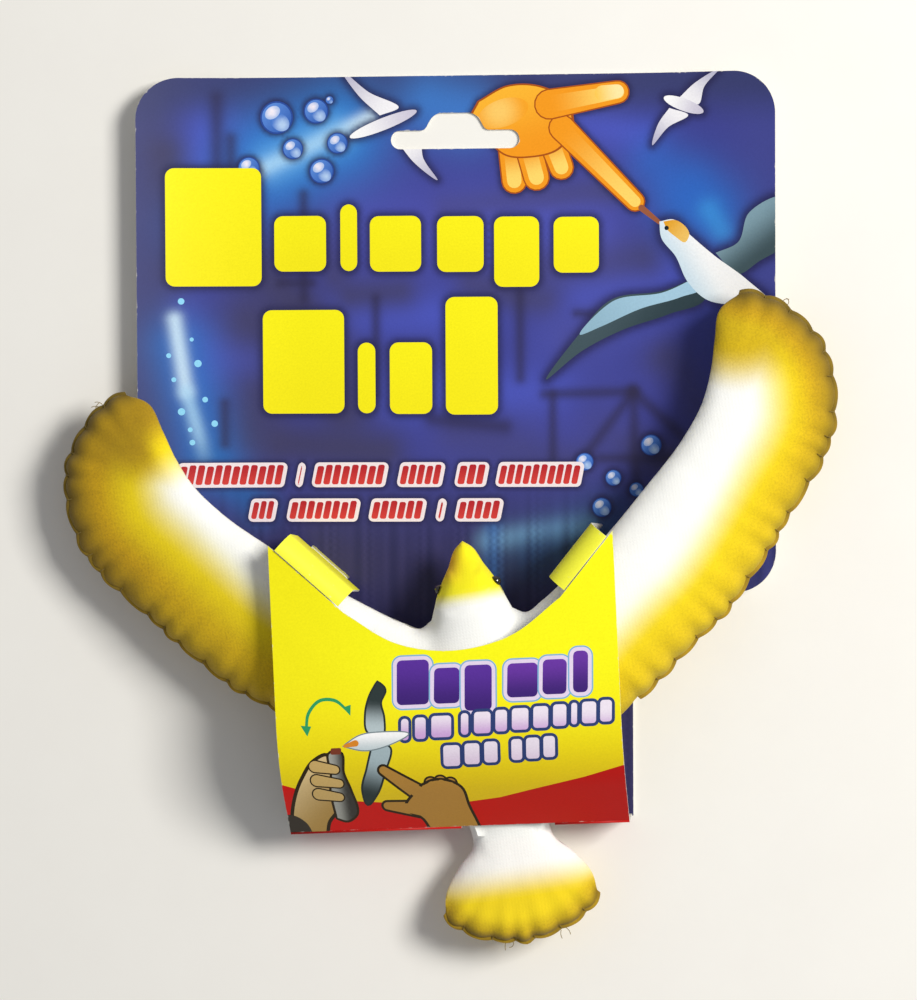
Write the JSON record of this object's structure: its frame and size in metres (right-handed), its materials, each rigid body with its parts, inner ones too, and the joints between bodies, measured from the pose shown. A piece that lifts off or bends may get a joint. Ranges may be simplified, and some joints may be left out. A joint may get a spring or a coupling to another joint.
{
  "type": "soft balancing bird on a hang card",
  "caption": "Soft foam balancing bird with swept wings and fan tail, held on a slotted hang card by a fold-over front panel with shoulder strips.",
  "frame": {"origin": "middle of the bottom crease, on the card's flat back face", "axes": "+Z out of the printed face, +Y up the card towards the hang slot, +X to the viewer's right"},
  "size_m": [0.1919, 0.2143, 0.0286],
  "materials": {
    "blue_printed_board": "gloss",
    "yellow_printed_board": "gloss",
    "cover_fabric": "satin",
    "seam_fabric": "matte",
    "foam": "matte",
    "steel_wire": "satin",
    "steel_weight": "satin",
    "beak_plastic": "satin",
    "eye_bead": "gloss"
  },
  "bodies": {
    "card": {"back_card": "blue_printed_board", "left_spine": "yellow_printed_board", "right_spine": "yellow_printed_board"},
    "wrap": {"front_panel": "yellow_printed_board"},
    "left_strip": {"left_shoulder_strip": "yellow_printed_board", "left_lock_tab": "yellow_printed_board"},
    "right_strip": {"right_shoulder_strip": "yellow_printed_board", "right_lock_tab": "yellow_printed_board"},
    "bird": {"upper_cover": "cover_fabric", "lower_cover": "cover_fabric", "upper_foam": "foam", "lower_foam": "foam", "left_wing_seam": "seam_fabric", "right_wing_seam": "seam_fabric", "tail_seam": "seam_fabric", "wing_wire": "steel_wire", "left_wing_weight": "steel_weight", "right_wing_weight": "steel_weight", "beak_core": "beak_plastic", "beak_pin": "beak_plastic", "left_eye": "eye_bead", "right_eye": "eye_bead"}
  },
  "joints": [
    {"name": "wrap_open", "type": "hinge", "parent": "card", "child": "wrap", "pos_m": [0.00151, -0.00025, 0.013], "axis": [0.999, 0.0436, 0], "range_deg": [0, 100]},
    {"name": "left_strip_fold", "type": "hinge", "parent": "wrap", "child": "left_strip", "pos_m": [-0.04348, 0.0696, 0.0281], "axis": [0.7508, -0.6606, 0], "range_deg": [0, 70]},
    {"name": "right_strip_fold", "type": "hinge", "parent": "wrap", "child": "right_strip", "pos_m": [0.04024, 0.07326, 0.0281], "axis": [0.6204, 0.7843, 0], "range_deg": [0, 70]},
    {"name": "bird_tip_up", "type": "hinge", "parent": "card", "child": "bird", "pos_m": [0.01354, 0.00004, 0.007], "axis": [0.999, 0.0436, 0], "range_deg": [0, 8]}
  ],
  "couplings": [
    {"joint": "left_strip_fold", "follows": "wrap_open", "ratio": 0.7},
    {"joint": "right_strip_fold", "follows": "wrap_open", "ratio": 0.7},
    {"joint": "bird_tip_up", "follows": "wrap_open", "ratio": 0.08}
  ]
}
